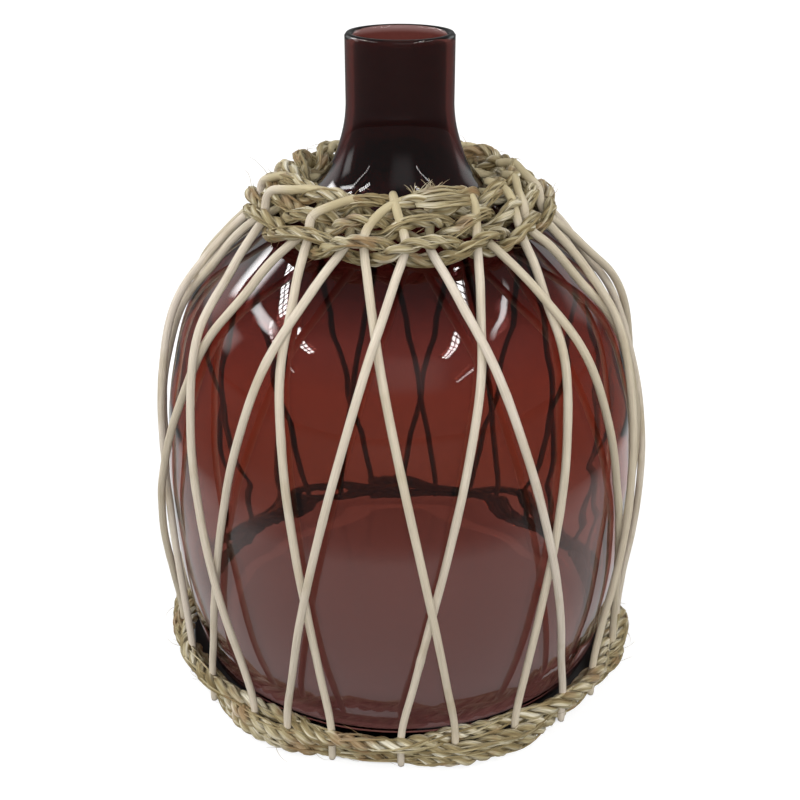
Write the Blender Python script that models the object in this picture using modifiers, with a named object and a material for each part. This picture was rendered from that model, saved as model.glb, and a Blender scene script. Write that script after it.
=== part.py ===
"""Glass demijohn vase in an open cage of willow reeds.

Thirty reeds run down the glass in two slanting families.  Three rows of twined
seagrass rope bind their upper ends into a collar on the shoulder, and three ropes
woven in and out bind their lower ends into a ring round the foot.  The glass
stands at the origin on its own foot, +Z is up and -Y is the front.
"""
import math

import bpy

# Sizes of the glass, in metres
TOTAL_HEIGHT = 0.320
NECK_RADIUS = 0.0254
NECK_FOOT_HEIGHT = 0.288
BODY_RADIUS = 0.1197
WIDEST_HEIGHT = 0.108
FOOT_RADIUS = 0.100
FOOT_WIDTH = 0.008
GLASS_WALL = 0.0039
BASE_THICKNESS = 0.006
PUNT_RISE = 0.004
RIM_ROUNDING = 0.0012

# Sizes of the reeds and the ropes
REED_THICKNESS = 0.0040
ROPE_THICKNESS = 0.0052
FIT_GAP = 0.0003
WEAVE_GAP = 0.0007
GLASS_GAP = 0.0005
COLLAR_SEAT_RADIUS = 0.0635
COLLAR_STUB = 0.0040
LANDING_LENGTH = 0.034
LEAVE_HEIGHT = 0.085
RING_CLEARANCE = 0.0007
FLOOR_GAP = 0.0006
CROSSING_REACH = 0.0075
SHOULDER_LENGTH = 0.080
SHOULDER_SPACING = 0.013
BODY_SPACING = 0.034
HOLD_MARGIN = 0.0016
WELD_DISTANCE = 0.00001

# Counts, and the station where every rope starts
COLLAR_ROWS = 3
OUTER_ROWS_FROM = 1
GLASS_STEPS = 36
START_STATION = 11

# Outlines, as (radius, height) shares between the foot and the widest place,
# and between the widest place and the foot of the neck
LOWER_OUTLINE_SHARES = (
    (0.0, 0.0), (0.22, 0.012), (0.36, 0.040), (0.47, 0.090), (0.57, 0.160),
    (0.69, 0.26), (0.81, 0.40), (0.92, 0.58), (0.98, 0.79), (1.0, 1.0))
UPPER_OUTLINE_SHARES = (
    (1.0, 0.0), (0.976, 0.175), (0.934, 0.297), (0.871, 0.419), (0.783, 0.506),
    (0.621, 0.594), (0.43, 0.677), (0.261, 0.743), (0.118, 0.812), (0.047, 0.878),
    (0.009, 0.95), (0.0, 1.0))

# Angles of the places where reeds are bound in pairs, as shares of an even step
COLLAR_STATION_SHARES = (
    -3.90, -2.95, -1.62, -0.70, 0.27, 1.33, 2.27, 3.21, 4.21, 5.25, 6.25, 7.21,
    8.21, 9.25, 10.17)
RING_STATION_SHARES = (
    -3.54, -2.42, -1.31, -0.32, 0.83, 2.0, 3.125, 4.125, 5.04, 5.92, 6.79, 7.67,
    8.54, 9.46, 10.42)
SLANT_SHARE = 0.72

# Half the angle between the two reeds of a pair: in the collar as a share of the
# closest that they can lie in the top row, in the ring as a share of an even step
COLLAR_SPREAD_SHARES = (
    1.0, 1.2, 1.0, 1.4, 1.7, 1.0, 1.2, 1.0, 1.3, 1.1, 1.0, 1.4, 1.0, 1.2, 1.0)
RING_SPREAD_SHARES = (
    0.24, 0.26, 0.20, 0.33, 0.31, 0.26, 0.24, 0.22, 0.25, 0.22, 0.24, 0.21, 0.24, 0.22,
    0.25)

# One entry for each station: 1 where the left-going reed lies outside
LEFT_OUTSIDE_AT_SHOULDER = (1, 0, 0, 1, 1, 0, 0, 1, 0, 1, 1, 0, 1, 0, 1)
LEFT_OUTSIDE_AT_FOOT = (0, 1, 1, 0, 1, 0, 0, 1, 1, 0, 1, 0, 0, 1, 0)
# 1 where the left-going reed ends outside the outer rows of the collar
STUB_OUTSIDE = (0, 0, 0, 0, 1, 1, 1, 0, 0, 0, 1, 0, 0, 0, 0)
# 1 where the right-going reed ends in an arch outside these rows
ENDS_IN_ARCH = (1, 1, 1, 1, 0, 0, 1, 1, 0, 1, 0, 1, 1, 0, 1)
# One entry for each ring rope, the lowest first: 1 where it passes outside the
# reeds of the even stations
OUTSIDE_AT_EVEN = (0, 0, 1)

# The step outward between two rows, as (share of the row pitch, share of the step)
OUTWARD_STEP_SHARES = (
    (0.14, 0.0), (0.34, 0.17), (0.5, 0.5), (0.66, 0.83), (0.86, 1.0))
ARCH_HEIGHT_SHARE = 1.2
ARCH_TURN_SHARE = 0.58
ARCH_POINTS = 6
HOLD_RISE_SHARE = 0.35

# Sizes that follow from the ones above
REED_RADIUS = REED_THICKNESS / 2
ROPE_RADIUS = ROPE_THICKNESS / 2
STATION_COUNT = len(COLLAR_STATION_SHARES)
STATION_STEP = 2 * math.pi / STATION_COUNT
PAIR_OFFSET = REED_RADIUS + FIT_GAP / 2
WEAVE_OUT = ROPE_RADIUS + REED_RADIUS + WEAVE_GAP
WEAVE_UP = ROPE_RADIUS + FIT_GAP
HOLD_RISE = HOLD_RISE_SHARE * WEAVE_UP
REED_STEP_RISE = HOLD_RISE * PAIR_OFFSET / (PAIR_OFFSET + HOLD_MARGIN)
ROW_PITCH = 2 * WEAVE_UP + ROPE_THICKNESS + FIT_GAP
RING_ROPES = len(OUTSIDE_AT_EVEN)
RING_PITCH = ROPE_THICKNESS + FIT_GAP
OVER_ROPE = WEAVE_OUT + ROPE_RADIUS + REED_RADIUS + WEAVE_GAP
BODY_LIFT = REED_RADIUS + GLASS_GAP
COLLAR_LIFT = WEAVE_OUT + ROPE_RADIUS + FIT_GAP
COLLAR_EDGE = WEAVE_UP + ROPE_RADIUS
OVER_REED = REED_THICKNESS + FIT_GAP


def material(name, colour, roughness, transmission=0.0):
    """Make a plain Principled BSDF material."""
    made = bpy.data.materials.new(name)
    made.use_nodes = True
    made.diffuse_color = (*colour, 1.0)
    shader = made.node_tree.nodes["Principled BSDF"]
    shader.inputs["Base Color"].default_value = (*colour, 1.0)
    shader.inputs["Roughness"].default_value = roughness
    shader.inputs["Metallic"].default_value = 0.0
    shader.inputs["Transmission Weight"].default_value = transmission
    return made


def smooth_line(points, steps):
    """Sample a Catmull-Rom curve through points, with steps samples a span."""
    first = tuple(2 * a - b for a, b in zip(points[0], points[1]))
    last = tuple(2 * a - b for a, b in zip(points[-1], points[-2]))
    padded = [first, *points, last]
    line = []
    for before, start, end, after in zip(padded, padded[1:], padded[2:], padded[3:]):
        for step in range(steps):
            t = step / steps
            line.append(tuple(
                b + 0.5 * t * (c - a + t * (2 * a - 5 * b + 4 * c - d + t * (3 * b - a - 3 * c + d)))
                for a, b, c, d in zip(before, start, end, after)))
    line.append(tuple(points[-1]))
    return line


def ease(share):
    """Run from 0 to 1 with level ends."""
    share = min(max(share, 0.0), 1.0)
    return share * share * (3 - 2 * share)


def arc_lengths(line):
    """Give the distance along a line at each of its points."""
    lengths = [0.0]
    for start, end in zip(line, line[1:]):
        lengths.append(lengths[-1] + math.dist(start, end))
    return lengths


def unit_normal(line, index):
    """Give the normal of a (radius, height) line, on the left of its direction."""
    before = line[max(index - 1, 0)]
    after = line[min(index + 1, len(line) - 1)]
    length = math.dist(before, after)
    return (before[1] - after[1]) / length, (after[0] - before[0]) / length


def lower_outline(steps):
    """Outer line of the glass from the foot up to the widest place."""
    return smooth_line([
        (FOOT_RADIUS + r * (BODY_RADIUS - FOOT_RADIUS), z * WIDEST_HEIGHT)
        for r, z in LOWER_OUTLINE_SHARES], steps)


def upper_outline(steps):
    """Outer line of the glass from the widest place up to the foot of the neck."""
    return smooth_line([
        (NECK_RADIUS + r * (BODY_RADIUS - NECK_RADIUS),
         WIDEST_HEIGHT + z * (NECK_FOOT_HEIGHT - WIDEST_HEIGHT))
        for r, z in UPPER_OUTLINE_SHARES], steps)


def glass_outline(steps):
    """Outer line of the glass from the foot up to the foot of the neck."""
    return lower_outline(steps) + upper_outline(steps)[1:]


def glass_section():
    """Section of the glass, from the floor's centre over the rim to the punt's centre."""
    outer = lower_outline(1) + upper_outline(2)[1:]
    line = glass_outline(1)
    inner = []
    for index, (radius, height) in enumerate(line):
        across, up = unit_normal(line, index)
        inner.append((radius + GLASS_WALL * across, height + GLASS_WALL * up))
    inner = [point for point in inner if point[1] > BASE_THICKNESS + FIT_GAP]
    bore = NECK_RADIUS - GLASS_WALL
    slope = RIM_ROUNDING * math.sqrt(0.5)
    rim = [(bore, TOTAL_HEIGHT - RIM_ROUNDING),
           (bore + RIM_ROUNDING - slope, TOTAL_HEIGHT - RIM_ROUNDING + slope),
           (bore + RIM_ROUNDING, TOTAL_HEIGHT),
           (NECK_RADIUS - RIM_ROUNDING, TOTAL_HEIGHT),
           (NECK_RADIUS - RIM_ROUNDING + slope, TOTAL_HEIGHT - RIM_ROUNDING + slope),
           (NECK_RADIUS, TOTAL_HEIGHT - RIM_ROUNDING)]
    floor = [(0.0, PUNT_RISE + BASE_THICKNESS), (FOOT_RADIUS - FOOT_WIDTH, BASE_THICKNESS)]
    foot = [(FOOT_RADIUS - FOOT_WIDTH, 0.0), (0.0, PUNT_RISE)]
    return floor + inner + rim + outer[::-1] + foot


def cage_line():
    """Line that the reeds' centres follow, with its lengths and the seat's index.

    The line's (radius, height) points run from the neck down.  It keeps the
    collar's lift over the glass as far as the lowest collar row, lands on the glass
    below it, and leaves the glass at LEAVE_HEIGHT for the ring, where it runs
    straight down, clear of the glass inside it.
    """
    glass = glass_outline(8)[::-1]
    lengths = arc_lengths(glass)
    seat = min(range(len(glass)), key=lambda i: abs(glass[i][0] - COLLAR_SEAT_RADIUS))
    line = []
    for index, (radius, height) in enumerate(glass):
        if height < LEAVE_HEIGHT:
            break
        below_row = lengths[index] - lengths[seat] - COLLAR_EDGE
        lift = COLLAR_LIFT + (BODY_LIFT - COLLAR_LIFT) * ease(below_row / LANDING_LENGTH)
        across, up = unit_normal(glass, index)
        line.append((radius + lift * across, height + lift * up))
    leave_radius, leave_height = line[-1]
    ring_height = FLOOR_GAP + RING_ROPES * RING_PITCH
    inside = max(radius for radius, height in lower_outline(8) if height < ring_height)
    ring_radius = inside + RING_CLEARANCE + ROPE_RADIUS + WEAVE_OUT
    drop_steps = 24
    for step in range(1, drop_steps + 1):
        t = step / drop_steps
        line.append((leave_radius + (ring_radius - leave_radius) * ease(t),
                     leave_height + (ring_height - leave_height) * t))
    line.append((ring_radius, 0.0))
    return line, arc_lengths(line), seat


CAGE, CAGE_LENGTHS, SEAT = cage_line()
CAGE_LENGTH = CAGE_LENGTHS[-1] - CAGE_LENGTHS[SEAT]


def cage_place(angle, distance, outward=0.0, sideways=0.0):
    """Give the world point on the cage at an angle and a distance.

    The distance runs down from the lowest collar row.  The point can lie outward
    of the cage line, and sideways of the angle.
    """
    wanted = min(max(distance + CAGE_LENGTHS[SEAT], 0.0), CAGE_LENGTHS[-1])
    index = 0
    while index < len(CAGE) - 2 and CAGE_LENGTHS[index + 1] < wanted:
        index += 1
    span = CAGE_LENGTHS[index + 1] - CAGE_LENGTHS[index]
    share = (wanted - CAGE_LENGTHS[index]) / span
    here = unit_normal(CAGE, index)
    there = unit_normal(CAGE, index + 1)
    across, up = (a + share * (b - a) for a, b in zip(here, there))
    radius, height = (a + share * (b - a) for a, b in zip(CAGE[index], CAGE[index + 1]))
    turned = angle + sideways / radius
    radius += outward * across
    height += outward * up
    return radius * math.sin(turned), -radius * math.cos(turned), height


def collar_angle(station):
    """Angle of a collar station, for any whole number."""
    turns, index = divmod(station, STATION_COUNT)
    return COLLAR_STATION_SHARES[index] * STATION_STEP + turns * 2 * math.pi


def ring_angle(station):
    """Angle of a ring station, for any whole number."""
    turns, index = divmod(station, STATION_COUNT)
    return RING_STATION_SHARES[index] * STATION_STEP + turns * 2 * math.pi


def collar_spread(station):
    """Half the angle between the reeds of a pair in the collar."""
    top_row_radius = math.hypot(*cage_place(0.0, collar_row_distance(COLLAR_ROWS - 1))[:2])
    return COLLAR_SPREAD_SHARES[station % STATION_COUNT] * PAIR_OFFSET / top_row_radius


def ring_spread(station):
    """Half the angle between the reeds of a pair in the ring."""
    return RING_SPREAD_SHARES[station % STATION_COUNT] * STATION_STEP


def collar_row_distance(row):
    """Distance of a collar row's centre line, the lowest row first."""
    return -row * ROW_PITCH


def ring_rope_distance(row):
    """Distance of a ring rope's centre line, the lowest first."""
    return CAGE_LENGTH - FLOOR_GAP - ROPE_RADIUS - row * RING_PITCH


def ring_top():
    """Distance of the ring's upper edge."""
    return ring_rope_distance(RING_ROPES - 1) - ROPE_RADIUS


def tube(name, points, radius, look, parts):
    """Make one tube along points, with its ends capped."""
    curve = bpy.data.curves.new(name, "CURVE")
    curve.dimensions = "3D"
    curve.bevel_depth = radius
    curve.bevel_resolution = 1
    curve.use_fill_caps = True
    spline = curve.splines.new("POLY")
    spline.points.add(len(points) - 1)
    for point, place in zip(spline.points, points):
        point.co = (*place, 1.0)
        point.tilt = 0.0
    curve.materials.append(look)
    made = bpy.data.objects.new(name, curve)
    parts.objects.link(made)
    return made


def twined_rope(distance):
    """Route of a collar rope that is doubled and twined twice round the cage.

    At each station one turn of it passes outside the pair of reeds and the other
    turn inside, and between stations the two turns swap.  Its ends meet inside.
    """
    start = START_STATION
    end = start + 2 * STATION_COUNT
    margin = HOLD_MARGIN / math.hypot(*cage_place(0.0, distance)[:2])
    points = [cage_place(collar_angle(start), distance, -WEAVE_OUT, FIT_GAP)]
    for station in range(start, end):
        side = 1 if station % 2 == 0 else -1
        leaves = collar_angle(station) + collar_spread(station) + margin
        reaches = collar_angle(station + 1) - collar_spread(station + 1) - margin
        rise = side * HOLD_RISE
        points.append(cage_place(leaves, distance - rise, side * WEAVE_OUT))
        points.append(cage_place((leaves + reaches) / 2, distance - side * WEAVE_UP))
        points.append(cage_place(reaches, distance - rise, -side * WEAVE_OUT))
    points.append(cage_place(collar_angle(end), distance, -WEAVE_OUT, -FIT_GAP))
    return points


def woven_rope(row):
    """Route of a ring rope that weaves once round the cage, outside and inside in turn.

    The count of stations is odd, so its two ends lap at one pair of reeds, one end
    inside it and the other outside.
    """
    distance = ring_rope_distance(row)
    margin = HOLD_MARGIN / math.hypot(*cage_place(0.0, distance)[:2])
    points = []
    for station in range(START_STATION, START_STATION + STATION_COUNT + 1):
        side = 1 if (station + OUTSIDE_AT_EVEN[row]) % 2 else -1
        reaches = ring_angle(station) - ring_spread(station) - margin
        leaves = ring_angle(station) + ring_spread(station) + margin
        for angle in (reaches, ring_angle(station), leaves):
            points.append(cage_place(angle, distance, side * WEAVE_OUT))
        following = ring_angle(station + 1) - ring_spread(station + 1) - margin
        points.append(cage_place((leaves + following) / 2, distance))
    return points[:-1]


def slant(distance):
    """Share of a reed's turn that it has made at a distance below the collar."""
    share = min(max(distance / ring_top(), 0.0), 1.0)
    return share ** SLANT_SHARE


def crossing_distance(left, right):
    """Distance at which a left-going and a right-going reed cross."""
    closing = (left[0] - left[1]) + (right[1] - right[0])
    turned = (left[0] - right[0]) / closing
    return turned ** (1 / SLANT_SHARE) * ring_top()


def left_reed_angles(station):
    """Angles at which the left-going reed leaves the collar and enters the ring."""
    below = station - 2
    return collar_angle(station) - collar_spread(station), ring_angle(below) + ring_spread(below)


def right_reed_angles(station):
    """Angles at which the right-going reed leaves the collar and enters the ring."""
    above = station - 1
    return collar_angle(above) + collar_spread(above), ring_angle(station) - ring_spread(station)


def reed_run(angles, crossings):
    """Points of a reed from the collar to its lower end.

    Each crossing is (distance, outside): where outside is true the reed lies over
    the other one.  It rises and sinks slowly, since a rod is too stiff to step.
    """
    end = CAGE_LENGTH - FLOOR_GAP
    knots = [(COLLAR_EDGE, 0.0)]
    for distance, outside in sorted(crossings):
        height = OVER_REED if outside else 0.0
        knots.append((distance - CROSSING_REACH, height))
        knots.append((distance + CROSSING_REACH, height))
    knots.append((ring_top(), 0.0))
    points = []
    for (start, low), (stop, high) in zip(knots, knots[1:]):
        spacing = SHOULDER_SPACING if start < SHOULDER_LENGTH else BODY_SPACING
        pieces = max(1, math.ceil((stop - start) / spacing))
        for piece in range(pieces):
            share = piece / pieces
            distance = start + share * (stop - start)
            turned = angles[0] + slant(distance) * (angles[1] - angles[0])
            points.append(cage_place(turned, distance, low + ease(share) * (high - low)))
    points.append(cage_place(angles[1], ring_top()))
    points.append(cage_place(angles[1], end))
    return points


def step_outward(station, side, row):
    """Points of a reed that steps outside the ropes between one row and the next.

    The side is -1 for the left reed of a pair and 1 for the right one.
    """
    angle = collar_angle(station) + side * collar_spread(station)
    base = collar_row_distance(row) - side * REED_STEP_RISE
    return [cage_place(angle, base - along * ROW_PITCH, out * OVER_ROPE)
            for along, out in OUTWARD_STEP_SHARES]


def left_reed_top(station):
    """Points of a left-going reed in the collar, from its upper end down."""
    angle = collar_angle(station) - collar_spread(station)
    top = collar_row_distance(COLLAR_ROWS - 1) - COLLAR_STUB
    height = OVER_ROPE if STUB_OUTSIDE[station] else 0.0
    points = [cage_place(angle, top, height)]
    for row in range(COLLAR_ROWS - 1, OUTER_ROWS_FROM - 1, -1):
        points.append(cage_place(angle, collar_row_distance(row), height))
    if STUB_OUTSIDE[station]:
        points += step_outward(station, -1, OUTER_ROWS_FROM - 1)[::-1]
    points.append(cage_place(angle, 0.0))
    return points


def arch_top(station):
    """Points of the arch that a right-going reed makes outside the outer rows.

    It leans over like a sine wave from its rise to just past its top, from the
    outward step at this station to just before the next reed that lies outside: the
    next pair's left one, or else its right one.
    """
    row = OUTER_ROWS_FROM - 1
    start = collar_angle(station) + collar_spread(station)
    side = -1 if STUB_OUTSIDE[(station + 1) % STATION_COUNT] else 1
    end = collar_angle(station + 1) + side * collar_spread(station + 1)
    end -= OVER_REED / math.hypot(*cage_place(end, collar_row_distance(COLLAR_ROWS - 1))[:2])
    foot = collar_row_distance(row) - REED_STEP_RISE - OUTWARD_STEP_SHARES[-1][0] * ROW_PITCH
    points = []
    for step in range(1, ARCH_POINTS + 1):
        share = step / ARCH_POINTS
        angle = start + (end - start) * share
        up = ARCH_HEIGHT_SHARE * ROW_PITCH * math.sin(ARCH_TURN_SHARE * math.pi * share)
        points.append(cage_place(angle, foot - up, OVER_ROPE))
    return step_outward(station, 1, row) + points


def right_reed_top(station):
    """Points of a right-going reed in the collar, from its upper end down."""
    angle = collar_angle(station) + collar_spread(station)
    if ENDS_IN_ARCH[station % STATION_COUNT]:
        points = arch_top(station)[::-1]
        rows = range(OUTER_ROWS_FROM - 1, -1, -1)
    else:
        points = [cage_place(angle, collar_row_distance(COLLAR_ROWS - 1) - COLLAR_STUB)]
        rows = range(COLLAR_ROWS - 1, -1, -1)
    for row in rows:
        points.append(cage_place(angle, collar_row_distance(row)))
    return points


def left_reed(station):
    """Whole route of the left-going reed that leaves the collar at a station."""
    own = left_reed_angles(station)
    upper = crossing_distance(own, right_reed_angles(station))
    lower = crossing_distance(own, right_reed_angles(station - 1))
    crossings = [(upper, LEFT_OUTSIDE_AT_SHOULDER[station]),
                 (lower, LEFT_OUTSIDE_AT_FOOT[station])]
    return left_reed_top(station) + reed_run(own, crossings)


def right_reed(station):
    """Whole route of the right-going reed that meets left reed number station."""
    own = right_reed_angles(station)
    upper = crossing_distance(left_reed_angles(station), own)
    lower = crossing_distance(left_reed_angles(station + 1), own)
    after = (station + 1) % STATION_COUNT
    crossings = [(upper, not LEFT_OUTSIDE_AT_SHOULDER[station]),
                 (lower, not LEFT_OUTSIDE_AT_FOOT[after])]
    return right_reed_top(station - 1) + reed_run(own, crossings)


def make_glass(parts):
    """Turn the glass vessel from its section."""
    section = glass_section()
    mesh = bpy.data.meshes.new("glass_vessel")
    edges = [(index, index + 1) for index in range(len(section) - 1)]
    mesh.from_pydata([(radius, 0.0, height) for radius, height in section], edges, [])
    mesh.materials.append(material("plum_glass", (0.16, 0.035, 0.03), 0.03, 0.9))
    made = bpy.data.objects.new("glass_vessel", mesh)
    parts.objects.link(made)
    turn = made.modifiers.new("turn", "SCREW")
    turn.steps = GLASS_STEPS
    turn.render_steps = GLASS_STEPS
    turn.use_merge_vertices = True
    turn.merge_threshold = WELD_DISTANCE
    turn.use_smooth_shade = True
    return made


def make_reeds(parts):
    """Make both families of reeds."""
    look = material("peeled_willow", (0.62, 0.52, 0.38), 0.6)
    for station in range(STATION_COUNT):
        number = f"{station + 1:02d}"
        tube("reed_left_" + number, left_reed(station), REED_RADIUS, look, parts)
        tube("reed_right_" + number, right_reed(station), REED_RADIUS, look, parts)


def make_ropes(parts):
    """Make the twined rows of the collar and the woven ropes of the ring, the lowest first."""
    look = material("seagrass_rope", (0.37, 0.29, 0.15), 0.8)
    for row in range(COLLAR_ROWS):
        tube(f"collar_rope_{row + 1}", twined_rope(collar_row_distance(row)), ROPE_RADIUS, look, parts)
    for row in range(RING_ROPES):
        tube(f"ring_rope_{row + 1}", woven_rope(row), ROPE_RADIUS, look, parts)


for old in list(bpy.data.objects):
    bpy.data.objects.remove(old)
collection = bpy.data.collections.new("wicker_glass_vase")
bpy.context.scene.collection.children.link(collection)
make_glass(collection)
make_reeds(collection)
make_ropes(collection)
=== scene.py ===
"""Looks of a wicker-wrapped glass vase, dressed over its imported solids.

The file follows the vase as it is put together: the glass, the reeds that run
down it, the ropes that bind them, and then the studio.  Lengths are in metres.
"""

import bpy
import numpy as np
from mathutils import Matrix, Vector


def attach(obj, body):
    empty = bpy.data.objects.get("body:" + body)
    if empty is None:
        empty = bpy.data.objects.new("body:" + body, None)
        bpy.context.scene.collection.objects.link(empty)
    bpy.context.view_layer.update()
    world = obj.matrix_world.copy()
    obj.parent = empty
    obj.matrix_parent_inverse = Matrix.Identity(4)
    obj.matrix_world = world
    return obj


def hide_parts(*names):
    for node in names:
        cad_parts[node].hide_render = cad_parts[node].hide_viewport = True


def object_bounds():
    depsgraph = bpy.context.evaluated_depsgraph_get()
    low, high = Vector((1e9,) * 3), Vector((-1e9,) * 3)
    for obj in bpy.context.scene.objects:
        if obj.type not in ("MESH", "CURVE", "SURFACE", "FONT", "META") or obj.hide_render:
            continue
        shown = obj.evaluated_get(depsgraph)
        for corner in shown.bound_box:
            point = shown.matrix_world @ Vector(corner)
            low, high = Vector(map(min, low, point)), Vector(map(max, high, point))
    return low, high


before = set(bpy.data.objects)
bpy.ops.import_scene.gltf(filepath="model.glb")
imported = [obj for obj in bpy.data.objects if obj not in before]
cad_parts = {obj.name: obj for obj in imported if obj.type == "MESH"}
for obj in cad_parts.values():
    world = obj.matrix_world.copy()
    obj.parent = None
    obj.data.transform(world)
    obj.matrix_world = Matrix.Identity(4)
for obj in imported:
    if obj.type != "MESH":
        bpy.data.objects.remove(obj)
cad_low, cad_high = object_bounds()


# The glass vessel
# A demijohn blown in plum-brown soda-lime glass, with a fire-polished rim and a
# drawn-up punt.  It is one wall turned round the neck's axis, and it stands on its
# foot inside the cage.  Its colour by height is painted light and shade over the
# glass's own plum: a near-black shoulder and neck, and a paler foot, lower body and rim.
GLASS_SPACING = 0.0016
GLASS_TURNS = 192
GLASS_HEIGHT = cad_high[2]
# Tones by height with painted light and shade: a darker shoulder and neck, and a paler foot, lower
# body and rim.
GLASS_TONES_WITH_PAINTED_LIGHT = (
    (0.000, "#aca0a4"), (0.030, "#ae9a99"), (0.070, "#b5938b"), (0.120, "#bf8e82"),
    (0.150, "#b06b54"), (0.185, "#ae6d5b"), (0.203, "#9b6a67"), (0.220, "#57404a"),
    (0.240, "#4c383e"), (0.285, "#5a3533"), (0.3165, "#603833"), (0.3190, "#a08a8a"))
RIPPLE_DEPTH = 0.00005
RIPPLE_WAVES = ((1.0, 3, 40, 0), (1.0, 5, -62, 1), (0.6, 8, 90, 2))
RIPPLE_START = 0.03
RIPPLE_FADE = 0.05
MOULD_RING_STEP = 0.0085
MOULD_RING_DEPTH = 0.00011
MOULD_RING_REACH = 0.075
MOULD_RING_FADE_SHARE = 0.25
SAME_PLACE_DIGITS = 6
ON_AXIS = 1e-6
FOOT_POINTS = 2
STRAIGHT_LENGTH = 0.026


def merged(node):
    """Corners of a CAD solid without doubles, and a table of those that share an edge."""
    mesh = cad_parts[node].data
    corners = np.empty(len(mesh.vertices) * 3, np.float32)
    mesh.vertices.foreach_get("co", corners)
    corners = corners.reshape(-1, 3).astype(float)
    mesh.calc_loop_triangles()
    faces = np.empty(len(mesh.loop_triangles) * 3, np.int32)
    mesh.loop_triangles.foreach_get("vertices", faces)
    places = np.round(corners, SAME_PLACE_DIGITS)
    _, first, same = np.unique(places, axis=0, return_index=True, return_inverse=True)
    faces = same.ravel()[faces].reshape(-1, 3)
    joined = np.zeros((len(first), len(first)), bool)
    for start, end in ((0, 1), (1, 2), (2, 0)):
        joined[faces[:, start], faces[:, end]] = True
        joined[faces[:, end], faces[:, start]] = True
    return corners[first], joined


def edges_away(start, joined):
    """Count the edges on the shortest way from a start corner to each corner."""
    steps = np.full(len(joined), -1)
    reached = np.arange(len(joined)) == start
    for count in range(len(joined)):
        steps[reached & (steps < 0)] = count
        if (steps >= 0).all():
            break
        reached = joined[reached].any(axis=0)
    return steps


def ring_means(ring, values):
    """Mean of the values in each ring of corners, in the rings' order."""
    return np.bincount(ring, values) / np.bincount(ring)


def smooth_path(points, spacing):
    """Even points along a smooth curve through the given ones.

    Each span is a cubic.  Its slope at a point is that of the parabola through the
    point and its two neighbours, with the distance along the line as the parameter.
    """
    steps = np.linalg.norm(np.diff(points, axis=0), axis=1)
    lengths = np.concatenate([[0], np.cumsum(steps)])
    steps = steps[:, None]
    slopes = np.diff(points, axis=0) / steps
    inner = (steps[1:] * slopes[:-1] + steps[:-1] * slopes[1:]) / (steps[:-1] + steps[1:])
    tangents = np.vstack([slopes[:1], inner, slopes[-1:]])
    wanted = np.linspace(0, lengths[-1], round(lengths[-1] / spacing) + 1)
    span = np.clip(np.searchsorted(lengths, wanted, side="right") - 1, 0, len(steps) - 1)
    t = ((wanted - lengths[span]) / steps[span, 0])[:, None]
    rise = 3 * t ** 2 - 2 * t ** 3
    lean = (t ** 3 - 2 * t ** 2 + t) * tangents[span] + (t ** 3 - t ** 2) * tangents[span + 1]
    return (1 - rise) * points[span] + rise * points[span + 1] + lean * steps[span]


def linear(code):
    """Turn an sRGB hex colour into linear light, by the curve of the sRGB standard."""
    values = np.array([int(code[place:place + 2], 16) for place in (1, 3, 5)]) / 255
    light = np.where(values <= 0.04045, values / 12.92, ((values + 0.055) / 1.055) ** 2.4)
    return (*light.tolist(), 1.0)


def add(tree, kind, sockets=(), **settings):
    """Add a node with its settings, and fill its sockets with values or links."""
    node = tree.nodes.new(kind)
    for name, value in settings.items():
        setattr(node, name, value)
    for key, value in dict(sockets).items():
        if isinstance(value, bpy.types.NodeSocket):
            tree.links.new(value, node.inputs[key])
        else:
            node.inputs[key].default_value = value
    return node


def new_material(name):
    """Make a material with an empty node tree, and give both."""
    made = bpy.data.materials.new(name)
    made.use_nodes = True
    made.node_tree.nodes.clear()
    return made, made.node_tree


def show(name, mesh, material, node):
    """Put a mesh in the scene as a piece of the vase, in place of its CAD node."""
    mesh.materials.append(material)
    mesh.polygons.foreach_set("use_smooth", np.ones(len(mesh.polygons), bool))
    piece = bpy.data.objects.new(name, mesh)
    bpy.context.scene.collection.objects.link(piece)
    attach(piece, "root")
    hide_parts(node)


def glass_profile():
    """Section of the glass as even (radius, height) points, floor first, punt last.

    The solid's rings of corners lie in the order of their distance from the centre
    of the floor.  The wall is smoothed; the foot's flat and the punt keep their edges,
    and a long span, such as the neck's, stays straight between points near its ends.
    """
    corners, joined = merged("glass_vessel")
    radii = np.hypot(corners[:, 0], corners[:, 1])
    poles = np.flatnonzero(radii < ON_AXIS)
    ring = edges_away(poles[corners[poles, 2].argmax()], joined)
    section = np.stack([ring_means(ring, radii), ring_means(ring, corners[:, 2])], axis=1)
    steps = np.linalg.norm(np.diff(section, axis=0), axis=1)
    long = np.flatnonzero(steps[:-FOOT_POINTS] > STRAIGHT_LENGTH)
    near = GLASS_SPACING * np.diff(section, axis=0)[long] / steps[long, None]
    kept = np.stack([section[long] + near, section[long + 1] - near], axis=1).reshape(-1, 2)
    section = np.insert(section, np.repeat(long + 1, 2), kept, axis=0)
    wall = smooth_path(section[:-FOOT_POINTS], GLASS_SPACING)
    return np.vstack([wall, section[-FOOT_POINTS:]])


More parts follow.
